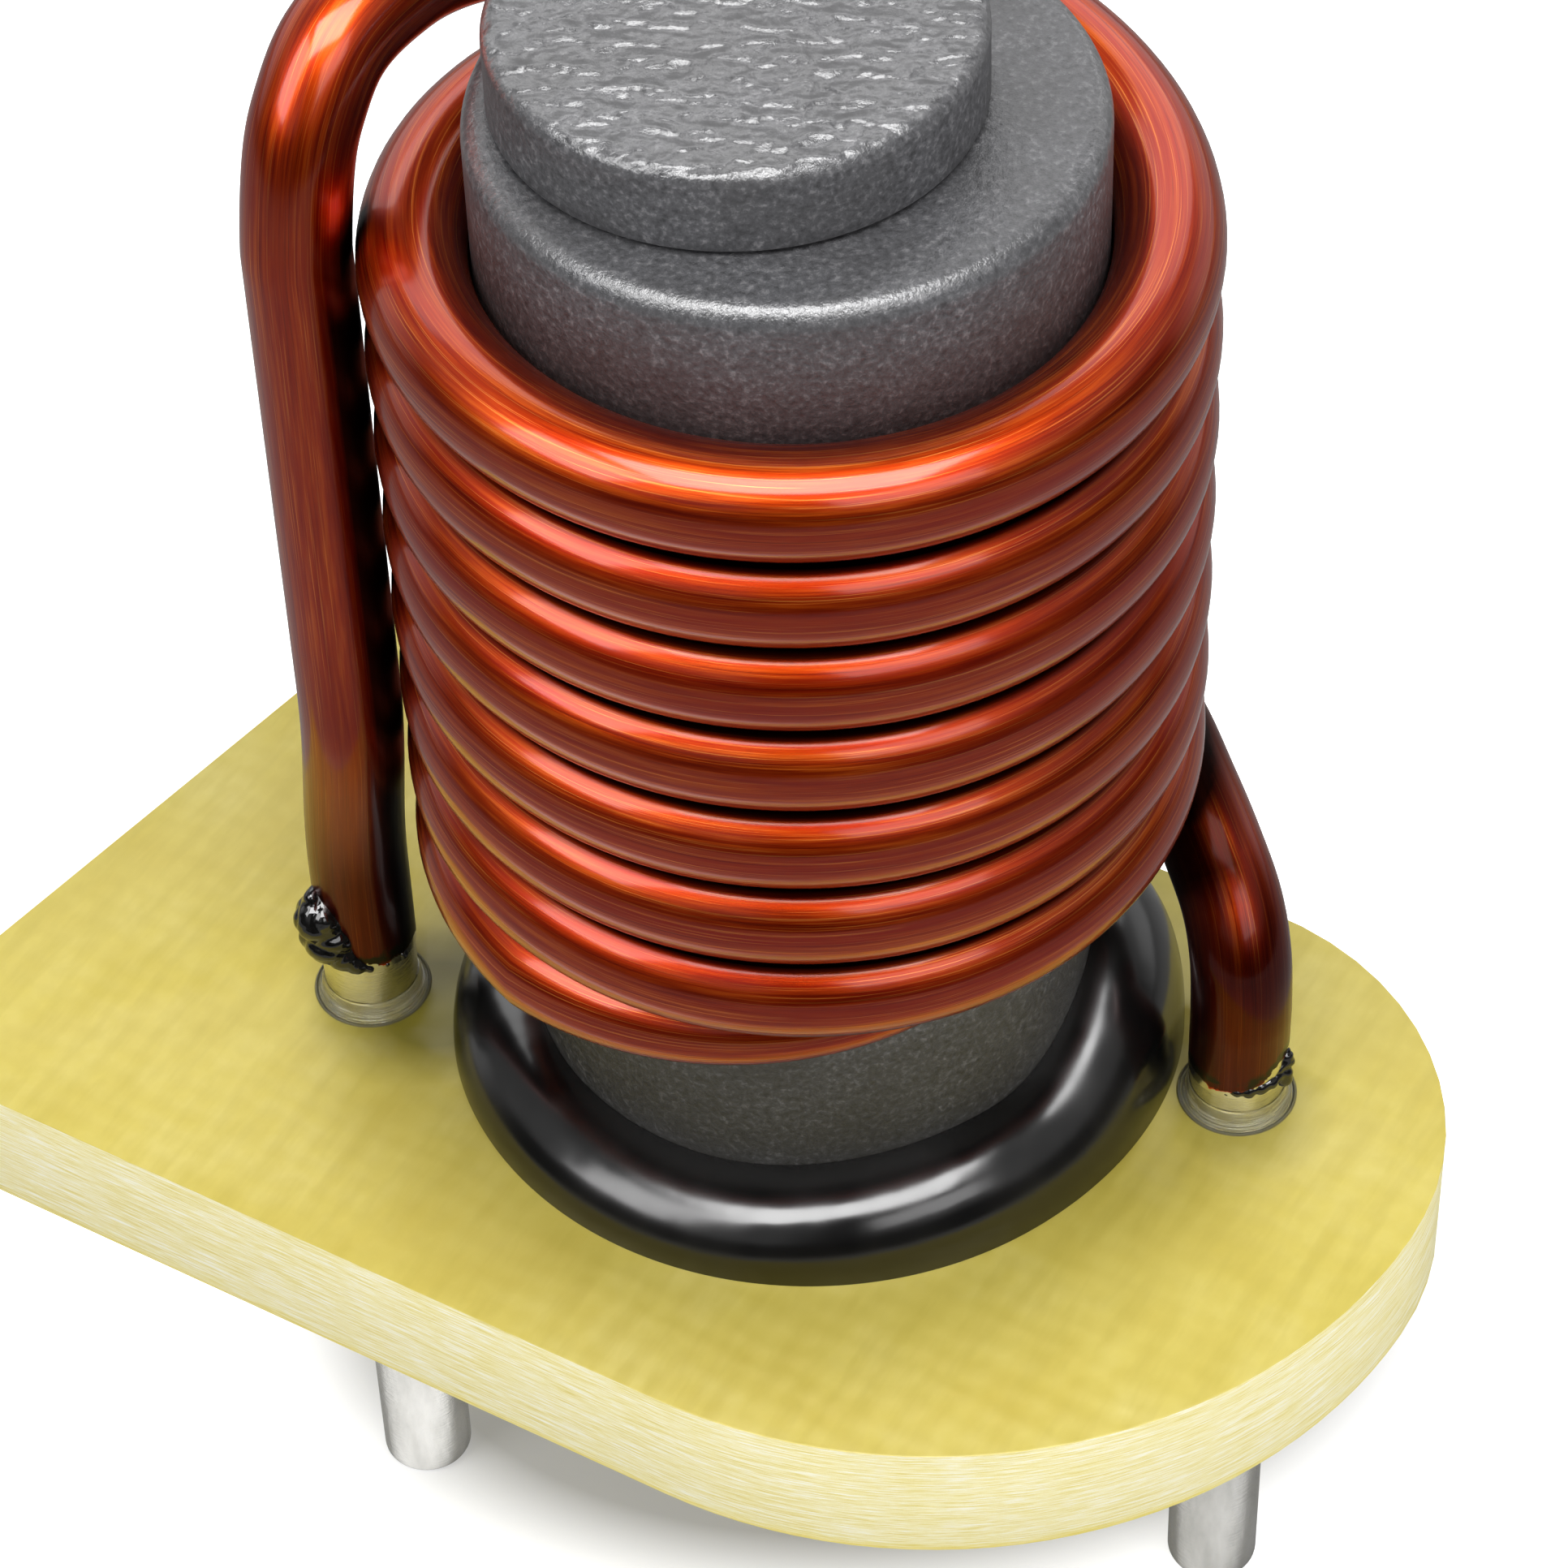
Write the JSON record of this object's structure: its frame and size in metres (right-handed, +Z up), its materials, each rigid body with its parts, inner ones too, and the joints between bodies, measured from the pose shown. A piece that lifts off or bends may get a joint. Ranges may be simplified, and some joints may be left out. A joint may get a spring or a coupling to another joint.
{
  "type": "rod core inductor",
  "caption": "Rod core inductor: enamelled copper winding round an upright ferrite rod, potted on a thick base plate with two tinned leads.",
  "frame": {"origin": "on the core's axis, at the underside of the base plate", "axes": "+Z up along the core's axis, +X towards the side of the short lead, +Y towards the back, where the tall lead's arch joins the winding"},
  "size_m": [0.0339, 0.0257, 0.0432],
  "materials": {
    "laminate": "satin, machined pale edge",
    "ferrite": "matte, sandy",
    "disc_ferrite": "as fired, rippled top",
    "glue": "gloss",
    "enamelled_copper": "gloss enamel over drawn copper",
    "tin": "bright tin",
    "meniscus": "clear gloss",
    "black_epoxy": "high gloss",
    "char": "lumpy gloss"
  },
  "bodies": {
    "root": {"base_plate": "laminate", "ferrite_core": "ferrite", "disc_adhesive": "glue", "top_disc": "disc_ferrite", "winding": "enamelled_copper", "tucked_strand": "enamelled_copper", "left_tin_coat": "tin", "right_tin_coat": "tin", "left_collar": "meniscus", "right_collar": "meniscus", "epoxy_bead": "black_epoxy", "left_enamel_blob": "char", "right_enamel_blob": "char"}
  },
  "joints": []
}
